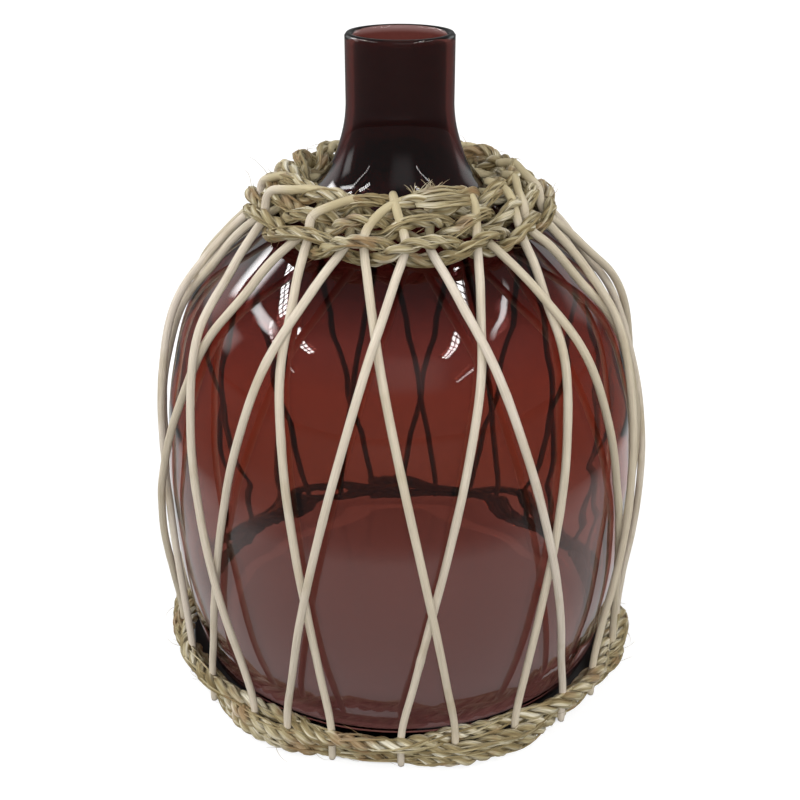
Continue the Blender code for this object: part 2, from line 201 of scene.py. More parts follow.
def turned(profile, turns):
    """Turn a section whose two ends lie on the axis into a closed mesh.

    Each point goes round the axis at its radius and height.  A wave of the ripple
    adds to the radius its share times the sine of (waves round * angle + radians a
    metre * height + phase), and the floor has the mould's rings, a sine of the radius.
    """
    angles = np.linspace(0, 2 * np.pi, turns, endpoint=False)
    radius, height = profile[1:-1].T
    body = np.clip((radius - RIPPLE_START) / RIPPLE_FADE, 0, 1)[:, None]
    waves = sum(share * np.sin(waves_round * angles + rate * height[:, None] + phase)
                for share, waves_round, rate, phase in RIPPLE_WAVES)
    across = radius[:, None] + RIPPLE_DEPTH * body * waves
    rows = len(radius)
    floor_share = np.clip(1 - radius / MOULD_RING_REACH, 0, 1) * (np.arange(rows) < rows / 2)
    depth = MOULD_RING_DEPTH * np.minimum(floor_share / MOULD_RING_FADE_SHARE, 1)
    level = height + depth * np.sin(2 * np.pi * radius / MOULD_RING_STEP)
    level = level[:, None] * np.ones(turns)
    corners = np.stack([across * np.sin(angles), -across * np.cos(angles), level], axis=2)
    poles = [[0.0, 0.0, profile[0, 1]], [0.0, 0.0, profile[-1, 1]]]
    here = np.arange(rows * turns).reshape(rows, turns)
    after = np.roll(here, -1, axis=1)
    walls = np.stack([here[:-1], here[1:], after[1:], after[:-1]], axis=2).reshape(-1, 4)
    first = np.stack([np.full(turns, rows * turns), here[0], after[0]], axis=1)
    last = np.stack([np.full(turns, rows * turns + 1), after[-1], here[-1]], axis=1)
    mesh = bpy.data.meshes.new("glass_vessel_wall")
    mesh.from_pydata(np.vstack([corners.reshape(-1, 3), poles]).tolist(), [],
                     walls.tolist() + first.tolist() + last.tolist())
    return mesh


def plum_glass():
    """Soda-lime glass, clear and glossy: darker where it is thick, with painted light and shade by
    height.

    The tones are those of one wall, by the height above the foot: its plum, with painted shade
    towards the neck and painted light lower down and at the rim.
    """
    made, tree = new_material("plum_soda_lime_glass")
    place = add(tree, "ShaderNodeTexCoord").outputs["Object"]
    height = add(tree, "ShaderNodeSeparateXYZ", {0: place}).outputs["Z"]
    share = add(tree, "ShaderNodeMath", {0: height, 1: GLASS_HEIGHT}, operation="DIVIDE")
    # Painted light and shade: the base colour follows the height above the foot.
    tones = add(tree, "ShaderNodeValToRGB", {0: share.outputs[0]})
    stops = tones.color_ramp.elements
    stops.remove(stops[1])
    stops[0].color = linear(GLASS_TONES_WITH_PAINTED_LIGHT[0][1])
    for level, code in GLASS_TONES_WITH_PAINTED_LIGHT[1:]:
        stops.new(level / GLASS_HEIGHT).color = linear(code)
    surface = add(tree, "ShaderNodeBsdfPrincipled", {
        "Base Color": tones.outputs[0], "Roughness": 0.0, "IOR": 1.5, "Transmission Weight": 1.0})
    depth = add(tree, "ShaderNodeVolumeAbsorption", {"Color": linear("#cf917c"), "Density": 150.0})
    add(tree, "ShaderNodeOutputMaterial", {
        "Surface": surface.outputs["BSDF"], "Volume": depth.outputs["Volume"]})
    return made


show("glass_body", turned(glass_profile(), GLASS_TURNS), plum_glass(), "glass_vessel")


# The reeds
# Thirty willow rods, peeled of their bark and dried, round and about 4 mm thick, with
# fine fibres along them.  They are bound in the collar and the ring and cross on the
# way, half of them slanting each way.
REED_SPACING = 0.0015
REED_SIDES = 20
REED_RADIUS = 0.0020
REED_TOP_SHARE = 1.02
REED_TAPER_SHARE = 0.14
REED_END_SHARE = 0.86
REED_SWELLINGS = 3
REED_SWELLING_RANGE = (0.1, 0.95)
REED_SWELLING_SHARE = 0.05
REED_SWELLING_LENGTH = 0.0035
REED_OVAL_SHARE = 0.02
REED_FLUTES = 5
REED_FLUTE_SHARE = 0.012
PHASE_LIMIT = 6
REED_TONE_LIMIT = 0.5
REED_BEND_LENGTH = 0.012
ARCH_BEND_LENGTH = 0.026
ARCH_BEND_REACH = 0.050
ARCH_SLOPE = 0.75
ARCH_LENGTH = 0.030
ARCH_LEAN = 0.0050
ARCH_PRESS = 0.0024
ARCH_DROP = 0.0024
TUCK_DOWN = 0.0026
TUCK_IN = 0.0060
WILLOW_FIBRE_LENGTH = 0.018
WILLOW_FIBRE_WIDTH = 0.00035
WILLOW_FIBRE_DEPTH = 0.00012
WILLOW_STAIN_LENGTH = 0.022


def centre_line(node):
    """Centre of each ring of corners of a CAD tube, from its upper end to its lower.

    Counting edges from one end gives exact rings only away from that end, so each
    corner is numbered from the end that is farther from it.
    """
    corners, joined = merged(node)
    near = edges_away(edges_away(0, joined).argmax(), joined)
    far = edges_away(near.argmax(), joined)
    ring = np.where(near > far, near, near.max() - far)
    line = np.stack([ring_means(ring, corners[:, axis]) for axis in range(3)], axis=1)
    return line if line[0, 2] > line[-1, 2] else line[::-1]


def unit(vectors):
    """Scale vectors to length one."""
    return vectors / np.linalg.norm(vectors, axis=-1, keepdims=True)


def path_frame(path):
    """Tangent, outward and sideways directions at each point of a path.

    Outward is the direction away from the vase's axis, made square to the path.
    """
    tangent = unit(np.gradient(path, axis=0))
    away = path * (1, 1, 0)
    side = unit(np.cross(tangent, away))
    return tangent, np.cross(side, tangent), side


def tube_rings(path, radius):
    """Rings of corners round a path.

    radius has a row for each point of the path and a column for each corner, and a
    corner stands at its radius times (cosine * outward + sine * sideways).
    """
    _, outward, side = path_frame(path)
    angle = np.linspace(0, 2 * np.pi, radius.shape[1], endpoint=False)[:, None]
    around = np.cos(angle) * outward[:, None] + np.sin(angle) * side[:, None]
    return path[:, None] + radius[..., None] * around


def tube_mesh(name, tubes, widths, marks):
    """Join closed tubes into one mesh, with a UV map in metres and a value for each corner.

    Each tube is an array of rings.  The UV map runs along the tube and round it; the
    marks are an attribute that the willow reads as tone, and the seagrass as depth, for
    painted shade in its grooves, and as a random tone of its loose blades.
    """
    corners, faces, loops, values = [], [], [], []
    base = 0
    for rings, width, mark in zip(tubes, widths, marks):
        rows, sides = rings.shape[:2]
        here = base + np.arange(rows * sides).reshape(rows, sides)
        after = np.roll(here, -1, axis=1)
        quads = np.stack([here[:-1], after[:-1], after[1:], here[1:]], axis=2).reshape(-1, 4)
        top = np.stack([after[0], here[0], np.full(sides, base + rows * sides)], axis=1)
        end = np.stack([here[-1], after[-1], np.full(sides, base + rows * sides + 1)], axis=1)
        steps = np.linalg.norm(np.diff(rings.mean(axis=1), axis=0), axis=1)
        along = np.concatenate([[0], np.cumsum(steps)])
        round_it = np.arange(sides + 1) * width / sides
        low, high = np.meshgrid(along[:-1], round_it[:-1], indexing="ij")
        far, wide = np.meshgrid(along[1:], round_it[1:], indexing="ij")
        map_quads = np.stack([low, high, low, wide, far, wide, far, high], axis=2).reshape(-1)
        cap = np.stack([round_it[1:], round_it[:-1], round_it[:-1]], axis=1)
        map_top = np.stack([np.full_like(cap, along[0]), cap], axis=2).reshape(-1)
        map_end = np.stack([np.full_like(cap, along[-1]), cap], axis=2).reshape(-1)
        corners += [rings.reshape(-1, 3), rings[0].mean(axis=0)[None], rings[-1].mean(axis=0)[None]]
        faces += quads.tolist() + top.tolist() + end.tolist()
        loops += [map_quads, map_top, map_end]
        values += [mark.reshape(-1), mark[0].mean(keepdims=True), mark[-1].mean(keepdims=True)]
        base += rows * sides + 2
    mesh = bpy.data.meshes.new(name)
    mesh.from_pydata(np.vstack(corners).tolist(), [], faces)
    mesh.uv_layers.new(name="lay").data.foreach_set("uv", np.concatenate(loops))
    mesh.attributes.new("mark", "FLOAT", "POINT").data.foreach_set("value", np.concatenate(values))
    return mesh


def eased(path, spacing, length):
    """Round off a path's kinks: a mean of the points within a length, under a cosine hump."""
    half = round(length / spacing / 2)
    weights = np.hanning(2 * half + 3)[1:-1]
    weights /= weights.sum()
    padded = np.vstack([2 * path[0] - path[half:0:-1], path, 2 * path[-1] - path[-2:-half - 2:-1]])
    return np.stack([np.convolve(padded[:, axis], weights, "valid") for axis in range(3)], axis=1)


def gentle(share):
    """The smooth step 3s^2 - 2s^3 of a share s, held between 0 and 1."""
    share = np.clip(share, 0, 1)
    return share * share * (3 - 2 * share)


def arch_rise(path):
    """Way up from a point a third down the arch to the rod's upper end."""
    return path[0] - path[round(ARCH_LENGTH / 3 / REED_SPACING)]


def arch_share(path):
    """Share of the arch at a rod's upper end: 1 at the end, 0 below it or on an upright rod."""
    rise = arch_rise(path)
    arched = rise[2] <= ARCH_SLOPE * np.linalg.norm(rise)
    return arched * np.clip(1 - np.arange(len(path)) * REED_SPACING / ARCH_LENGTH, 0, 1)[:, None]


def tucked(path, share):
    """Lean the arch at a rod's upper end, press it on the rope and tuck its end in.

    The lean is a smooth step of the share of the arch, and the press one of twice
    that share.  The end sinks with the square of the share of the arch's last third.
    """
    lean, pressed = gentle(share), gentle(2 * share)
    sunk = np.clip(3 * share - 2, 0, 1) ** 2
    inward = -unit(path * (1, 1, 0))
    onward = np.cross(inward, (0, 0, 1))
    onward *= np.sign(np.dot(onward[0], arch_rise(path)))
    shift = ARCH_LEAN * lean * onward + (ARCH_PRESS * pressed + TUCK_IN * sunk) * inward
    return path + shift - (ARCH_DROP * pressed + TUCK_DOWN * sunk) * (0, 0, 1)


def reed_mesh(name, node, seed):
    """A willow rod along its CAD tube.

    The radius tapers towards the lower end, swells at a few places as a Gaussian hump
    and is never quite round: sines of the angle make it oval and fluted.  The mark is
    the rod's own tone, and rises to 1 along its arch.
    """
    rng = np.random.default_rng(seed)
    line = smooth_path(centre_line(node), REED_SPACING)
    path = eased(line, REED_SPACING, REED_BEND_LENGTH)
    share = np.linspace(0, 1, len(path))
    along = share * len(path) * REED_SPACING
    arch = arch_share(path)
    rounded = arch[0] * gentle((ARCH_BEND_REACH - along[:, None]) / REED_BEND_LENGTH)
    path += rounded * (eased(line, REED_SPACING, ARCH_BEND_LENGTH) - path)
    path = tucked(path, arch)
    radius = REED_RADIUS * (REED_TOP_SHARE - REED_TAPER_SHARE * share)
    for place in rng.uniform(*REED_SWELLING_RANGE, REED_SWELLINGS):
        gap = (along - place * along[-1]) / REED_SWELLING_LENGTH
        radius = radius * (1 + REED_SWELLING_SHARE * np.exp(-gap ** 2))
    angle = np.linspace(0, 2 * np.pi, REED_SIDES, endpoint=False)
    oval = REED_OVAL_SHARE * np.sin(2 * angle + rng.uniform(0, PHASE_LIMIT))
    flutes = REED_FLUTE_SHARE * np.sin(REED_FLUTES * angle + rng.uniform(0, PHASE_LIMIT))
    section = radius[:, None] * (1 + oval + flutes)
    section[[0, -1]] *= REED_END_SHARE
    tone = rng.uniform(0, REED_TONE_LIMIT)
    tone = tone + (1 - tone) * gentle(2 * arch) * np.ones(REED_SIDES)
    return tube_mesh(name, [tube_rings(path, section)], [2 * np.pi * REED_RADIUS], [tone])


def peeled_willow():
    """Peeled, dried willow: a pale buff wood with fine grey-brown fibres and olive arches.

    The fibres are drawn 0.35 mm wide, coarser than the real ones, so that they show.
    A Mix node's sockets 6 and 7 and its output 2 are its colours.
    """
    made, tree = new_material("peeled_willow")
    lay = add(tree, "ShaderNodeUVMap", uv_map="lay").outputs["UV"]
    mark = add(tree, "ShaderNodeAttribute", attribute_name="mark").outputs["Fac"]
    place = add(tree, "ShaderNodeTexCoord").outputs["Object"]
    fibres_place = add(tree, "ShaderNodeMapping", {
        "Vector": lay, "Scale": (1 / WILLOW_FIBRE_LENGTH, 1 / WILLOW_FIBRE_WIDTH, 1)})
    fibres = add(tree, "ShaderNodeTexNoise", {
        "Vector": fibres_place.outputs["Vector"], "Scale": 1.0, "Detail": 3.0, "Roughness": 0.6})
    stains = add(tree, "ShaderNodeTexNoise", {
        "Vector": place, "Scale": 1 / WILLOW_STAIN_LENGTH, "Detail": 2.0, "Roughness": 0.5})
    tones = add(tree, "ShaderNodeMix", {
        0: mark, 6: linear("#dcd1c2"), 7: linear("#bdb08c")}, data_type="RGBA")
    dark = add(tree, "ShaderNodeMapRange", {
        "Value": fibres.outputs["Fac"],
        "From Min": 0.42, "From Max": 0.75, "To Min": 0.0, "To Max": 0.55})
    streaks = add(tree, "ShaderNodeMix", {
        0: dark.outputs["Result"], 6: tones.outputs[2], 7: linear("#9c8b72")}, data_type="RGBA")
    patch = add(tree, "ShaderNodeMapRange", {
        "Value": stains.outputs["Fac"],
        "From Min": 0.55, "From Max": 0.75, "To Min": 0.0, "To Max": 0.45})
    worn = add(tree, "ShaderNodeMix", {
        0: patch.outputs["Result"], 6: streaks.outputs[2], 7: linear("#aa9a78")}, data_type="RGBA")
    bump = add(tree, "ShaderNodeBump", {
        "Height": fibres.outputs["Fac"], "Strength": 0.5, "Distance": WILLOW_FIBRE_DEPTH})
    surface = add(tree, "ShaderNodeBsdfPrincipled", {
        "Base Color": worn.outputs[2], "Roughness": 0.62, "IOR": 1.45,
        "Normal": bump.outputs["Normal"]})
    add(tree, "ShaderNodeOutputMaterial", {"Surface": surface.outputs["BSDF"]})
    return made


willow = peeled_willow()
reed_nodes = sorted(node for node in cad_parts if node.startswith("reed_"))
for seed, node in enumerate(reed_nodes):
    name = node.replace("reed", "willow")
    show(name, reed_mesh(name, node, seed), willow, node)


# The ropes
# Seagrass rope in six rows: three twined in the collar, three woven in the ring.  The
# grass is dried, twisted into plies about 4 mm thick, and two plies are twisted into
# rope.  Ends of its blades have sprung out all along.
ROPE_SPACING = 0.0010
PLY_SIDES = 28
PLY_RADIUS = 0.00195
PLY_OFFSET = 0.00125
PLY_END_SHARE = 0.6
LAY_LENGTH = 0.0175
BLADE_COUNT = 7
BLADE_TWIST_LENGTH = 0.034
BLADE_RIDGE_SHARE = 0.16
BLADE_RIDGE_POWER = 0.7
BLADE_GROOVE_PAINTED_SHADE = 0.192
FOLD_COUNT = 3
FOLD_TWIST = 1.7
FOLD_SHARE = 0.06
SPARE_KNOTS = 4
RING_GIRTH_SHARE = 1.14
RING_SWING_SHARE = 0.62
RING_NEST_SHARE = 0.18
RING_DRAW_IN = 0.0008
FLOOR_GAP = 0.0002

# How far each of these wanders, and the length from bend to bend.
LAY_WANDER = (1.3, 0.040)
OFFSET_WANDER = (0.16, 0.018)
TWIST_WANDER = (1.2, 0.025)
GIRTH_WANDER = (0.13, 0.020)


def wander(rng, count, spacing, reach, period):
    """A smooth random line of values between about -reach and reach.

    Random knots lie a period apart, and smooth steps lead from each to the next.
    """
    knots = rng.uniform(-1, 1, int(count * spacing / period) + SPARE_KNOTS)
    places = np.arange(count) * spacing / period
    low = places.astype(int)
    t = gentle(places - low)
    return reach * (knots[low] * (1 - t) + knots[low + 1] * t)


def drawn_tight(path):
    """A ring rope pulled tight, so that it presses on the reeds and nests on the next row.

    Each point's distance from the mean radius shrinks to a share, and a smaller share
    of that distance is added to its height.
    """
    radius = np.hypot(path[:, 0], path[:, 1])
    swing = radius - radius.mean()
    drawn = path * ((radius.mean() - RING_DRAW_IN + RING_SWING_SHARE * swing) / radius)[:, None]
    return np.stack([drawn[:, 0], drawn[:, 1], path[:, 2] + RING_NEST_SHARE * swing], axis=1)


def lifted(points, height):
    """Points with those below a height lifted to it, since nothing sinks into the floor."""
    return np.stack([points[..., 0], points[..., 1], np.maximum(points[..., 2], height)], axis=-1)


def rope_plies(path, girth, rng):
    """The two plies of a rope along a path, as rings of corners, with their marks.

    A ply's centre goes round the path once in each lay length.  Its section is a ring
    of blades, as a power of the cosine of the angle, that twist the other way.  The
    mark is how far a corner stands from the rope's middle, less in the grooves, and the
    material paints shade in the grooves by it.
    """
    count = len(path)
    _, outward, side = path_frame(path)
    along = np.arange(count) * ROPE_SPACING
    phase = 2 * np.pi * along / LAY_LENGTH + wander(rng, count, ROPE_SPACING, *LAY_WANDER)
    angle = np.linspace(0, 2 * np.pi, PLY_SIDES, endpoint=False)
    tubes, marks = [], []
    for ply in range(2):
        turn = phase + np.pi * ply
        offset = girth * PLY_OFFSET * (1 + wander(rng, count, ROPE_SPACING, *OFFSET_WANDER))
        out, across = offset * np.cos(turn), offset * np.sin(turn)
        centre = path + out[:, None] * outward + across[:, None] * side
        twist = wander(rng, count, ROPE_SPACING, *TWIST_WANDER)
        twist = (twist - 2 * np.pi * along / BLADE_TWIST_LENGTH)[:, None]
        ridges = np.abs(np.cos(BLADE_COUNT / 2 * (angle + twist))) ** BLADE_RIDGE_POWER
        folds = np.sin(FOLD_COUNT * angle - FOLD_TWIST * twist + ply)
        section = 1 - BLADE_RIDGE_SHARE * (1 - ridges) + FOLD_SHARE * folds
        radius = girth * PLY_RADIUS * section
        radius *= (1 + wander(rng, count, ROPE_SPACING, *GIRTH_WANDER))[:, None]
        radius[[0, -1]] *= PLY_END_SHARE
        rings = lifted(tube_rings(centre, radius), FLOOR_GAP)
        depth = np.linalg.norm(rings - path[:, None], axis=2) / (PLY_OFFSET + PLY_RADIUS) / girth
        tubes.append(rings)
        # Painted shade: the mark is lower in the grooves between the blades and between the plies.
        marks.append(depth - BLADE_GROOVE_PAINTED_SHADE * (1 - ridges))
    return tubes, marks


# The loose ends of blades.  Two values together are a range.
FIBRE_PITCH = 0.011
FIBRE_RADIUS = 0.00013
FIBRE_SIDES = 5
FIBRE_POINTS = 10
FIBRE_END_POINTS = 5
FIBRE_ROOT = 1.2 * PLY_RADIUS
FIBRE_SPREAD = 1.9
FIBRE_LENGTHS = (0.004, 0.014)
FIBRE_LIFT_SHARES = (0.15, 0.65)
FIBRE_CURL_SHARE = 0.5
FIBRE_BOW = 1.2
FIBRE_TAPER_SHARE = 0.75
FIBRE_MARKS = (0.9, 1.2)


def sprung_fibres(path, rng):
    """Loose blade ends along a rope, as rings of corners, with their marks.

    Each starts inside the rope, leaves it at a slant and curls: its direction turns
    from along the rope to away from it and back, as a parabola of its length.
    """
    tangent, outward, side = path_frame(path)
    t = np.linspace(0, 1, FIBRE_POINTS)[:, None]
    taper = FIBRE_RADIUS * (1 - FIBRE_TAPER_SHARE * t) * np.ones(FIBRE_SIDES)
    bow = (1 + FIBRE_BOW) * t - FIBRE_BOW * t * t
    tubes, marks = [], []
    for _ in range(int(len(path) * ROPE_SPACING / FIBRE_PITCH)):
        at = rng.integers(FIBRE_END_POINTS, len(path) - FIBRE_END_POINTS)
        around = rng.uniform(-FIBRE_SPREAD, FIBRE_SPREAD)
        away = np.cos(around) * outward[at] + np.sin(around) * side[at]
        across = -np.sin(around) * outward[at] + np.cos(around) * side[at]
        along = tangent[at] * rng.choice((-1, 1))
        length = rng.uniform(*FIBRE_LENGTHS)
        lift = rng.uniform(*FIBRE_LIFT_SHARES) * length
        curl = rng.uniform(-FIBRE_CURL_SHARE, FIBRE_CURL_SHARE) * length
        line = (path[at] + away * FIBRE_ROOT + along * length * t
                + away * lift * bow + across * curl * t * t)
        tubes.append(tube_rings(lifted(line, FLOOR_GAP + FIBRE_RADIUS), taper))
        marks.append(np.full((FIBRE_POINTS, FIBRE_SIDES), rng.uniform(*FIBRE_MARKS)))
    return tubes, marks


# The slack blades.  Two values together are a range.
SLACK_PITCH = 0.010
SLACK_SPACING = 0.0035
SLACK_SIDES = 6
SLACK_RADIUS = 0.00062
SLACK_RADIUS_SHARES = (0.7, 1.25)
SLACK_END_SHARE = 0.45
SLACK_FLAT_SHARE = 0.35
SLACK_LENGTHS = (0.022, 0.060)
SLACK_SPREAD = 2.4
SLACK_DRIFT = 2.2
SLACK_SEAT = PLY_OFFSET + 0.75 * PLY_RADIUS
SLACK_SUNK_SHARE = 0.62
SLACK_RISE_SHARE = 0.50
SLACK_MARKS = (0.72, 1.1)


def slack_blades(path, girth, rng):
    """Long blades that have slipped out of the lay and lie on the rope, with their marks.

    Each runs along the rope at its surface while its place around the rope wanders,
    and it dives into the rope at both ends, as the root of a sine of its length.
    """
    _, outward, side = path_frame(path)
    tubes, marks = [], []
    for _ in range(int(len(path) * ROPE_SPACING / SLACK_PITCH)):
        length = rng.uniform(*SLACK_LENGTHS)
        count = round(length / SLACK_SPACING)
        low = rng.uniform(0, (len(path) - 1) * ROPE_SPACING - length) / ROPE_SPACING
        at = np.round(low + np.linspace(0, length / ROPE_SPACING, count)).astype(int)
        t = np.linspace(0, 1, count)
        around = rng.uniform(-SLACK_SPREAD, SLACK_SPREAD)
        around = around + rng.uniform(-SLACK_DRIFT, SLACK_DRIFT) * t
        hump = np.sin(np.pi * t) ** 0.5
        reach = girth * SLACK_SEAT * (SLACK_SUNK_SHARE + SLACK_RISE_SHARE * hump)
        out, across = reach * np.cos(around), reach * np.sin(around)
        line = path[at] + out[:, None] * outward[at] + across[:, None] * side[at]
        thick = SLACK_RADIUS * rng.uniform(*SLACK_RADIUS_SHARES)
        thick = thick * (SLACK_END_SHARE + (1 - SLACK_END_SHARE) * hump)
        angle = np.linspace(0, 2 * np.pi, SLACK_SIDES, endpoint=False)
        section = thick[:, None] * (1 + SLACK_FLAT_SHARE * np.cos(2 * angle))
        tubes.append(tube_rings(lifted(line, FLOOR_GAP + SLACK_RADIUS), section))
        marks.append(np.full((count, SLACK_SIDES), rng.uniform(*SLACK_MARKS)))
    return tubes, marks


# The frayed turn and its tuft, at angles in radians from the front.  A wander gives
# how far, and how many points lie between bends.
FRAYED_ROPE = "collar_rope_3"
FRAY_BLADES = 10
FRAY_POINTS = 36
FRAY_FROM = 0.13
FRAY_TO = 0.56
FRAY_SHIFT = 0.03
FRAY_RADIUS = 0.0556
FRAY_HEIGHT = 0.2568
FRAY_WIDTH = 0.0105
FRAY_PINCH_SHARE = 0.25
FRAY_SKEW_SHARE = 0.10
FRAY_BULGE = 0.0018
FRAY_ACROSS_SHARE = 0.8
FRAY_UP_SHARE = 0.6
FRAY_THICKNESS = 0.0021
FRAY_FLAT_SHARE = 0.25
FRAY_MARKS = (0.55, 1.1)
FRAY_SIDE_WANDER = (0.0007, 11)
FRAY_OUT_WANDER = (0.0006, 9)
FRAY_THICK_WANDER = (0.2, 6)
TUFT_BLADES = 26
TUFT_STARTS = (-0.02, 0.20)
TUFT_SWEEPS = (-0.10, 0.16)
TUFT_INSET = 0.003
TUFT_LEANS = (-0.004, 0.002)
TUFT_ROOT = 0.002
TUFT_HEIGHTS = (0.002, 0.006)
TUFT_BOW = 0.6
TUFT_RADII = (0.00018, 0.00045)
TUFT_TAPER_SHARE = 0.7
TUFT_MARKS = (0.7, 1.1)


def frayed_turn(rng):
    """The flat, slack turn of blades on the collar's front, with the tuft at its left end.

    The blades lie side by side on a cone as steep as the collar and bulge out as a sine
    of their length.  A blade of the tuft rises from the turn along a parabola.
    """
    t = np.linspace(0, 1, FRAY_POINTS)
    hump = np.sin(np.pi * t)
    angle = np.linspace(0, 2 * np.pi, SLACK_SIDES, endpoint=False)
    flat = 1 + FRAY_FLAT_SHARE * np.cos(2 * angle)
    tubes, marks = [], []
    for place in np.linspace(-0.5, 0.5, FRAY_BLADES):
        spread = place * (1 - FRAY_PINCH_SHARE * (1 - hump)) + FRAY_SKEW_SHARE * (t - 0.5)
        across = FRAY_WIDTH * spread + wander(rng, FRAY_POINTS, 1, *FRAY_SIDE_WANDER)
        turn = FRAY_FROM + rng.uniform(-FRAY_SHIFT, FRAY_SHIFT) + (FRAY_TO - FRAY_FROM) * t
        out = FRAY_BULGE * hump + wander(rng, FRAY_POINTS, 1, *FRAY_OUT_WANDER)
        radius = FRAY_RADIUS + FRAY_UP_SHARE * out + FRAY_ACROSS_SHARE * across
        height = FRAY_HEIGHT + FRAY_ACROSS_SHARE * out - FRAY_UP_SHARE * across
        line = np.stack([radius * np.sin(turn), -radius * np.cos(turn), height], axis=1)
        thick = 1 - FRAY_THICK_WANDER[0] + wander(rng, FRAY_POINTS, 1, *FRAY_THICK_WANDER)
        tubes.append(tube_rings(line, (FRAY_THICKNESS / 2 * thick)[:, None] * flat))
        marks.append(np.full((FRAY_POINTS, SLACK_SIDES), rng.uniform(*FRAY_MARKS)))
    t = np.linspace(0, 1, FIBRE_POINTS)
    bow = (1 + TUFT_BOW) * t - TUFT_BOW * t * t
    for _ in range(TUFT_BLADES):
        turn = FRAY_FROM + rng.uniform(*TUFT_STARTS) + rng.uniform(*TUFT_SWEEPS) * t
        radius = FRAY_RADIUS - TUFT_INSET + rng.uniform(*TUFT_LEANS) * t
        height = FRAY_HEIGHT + TUFT_ROOT + rng.uniform(*TUFT_HEIGHTS) * bow
        line = np.stack([radius * np.sin(turn), -radius * np.cos(turn), height], axis=1)
        thick = rng.uniform(*TUFT_RADII) * (1 - TUFT_TAPER_SHARE * t)
        tubes.append(tube_rings(line, thick[:, None] * np.ones(FIBRE_SIDES)))
        marks.append(np.full((FIBRE_POINTS, FIBRE_SIDES), rng.uniform(*TUFT_MARKS)))
    return tubes, marks


def rope_mesh(name, node, seed):
    """A two-ply rope along its CAD tube, with its slack blades and loose fibres."""
    rng = np.random.default_rng(seed)
    path = smooth_path(centre_line(node), ROPE_SPACING)
    girth = 1.0
    if node.startswith("ring"):
        path, girth = drawn_tight(path), RING_GIRTH_SHARE
    tubes, marks = rope_plies(path, girth, rng)
    slack, slack_marks = slack_blades(path, girth, rng)
    loose, loose_marks = sprung_fibres(path, rng)
    if node == FRAYED_ROPE:
        turn, turn_marks = frayed_turn(rng)
        slack, slack_marks = slack + turn, slack_marks + turn_marks
    radii = [PLY_RADIUS] * len(tubes) + [SLACK_RADIUS] * len(slack) + [FIBRE_RADIUS] * len(loose)
    widths = [2 * np.pi * radius for radius in radii]
    return tube_mesh(name, tubes + slack + loose, widths, marks + slack_marks + loose_marks)


GRASS_HUES = (
    (0.00, "#67573a"), (0.33, "#7b6b48"), (0.42, "#998963"), (0.50, "#b3a783"),
    (0.57, "#cbc0a2"), (0.67, "#ebe5d0"))
GRASS_FIBRE_LENGTH = 0.014
GRASS_FIBRE_WIDTH = 0.0003
GRASS_FIBRE_TURN = 0.25
GRASS_FIBRE_DEPTH = 0.00025
STRETCH_LENGTH = 0.030
STRETCH_WIDTH = 0.0025
BROWN_PATCH_LENGTH = 0.014


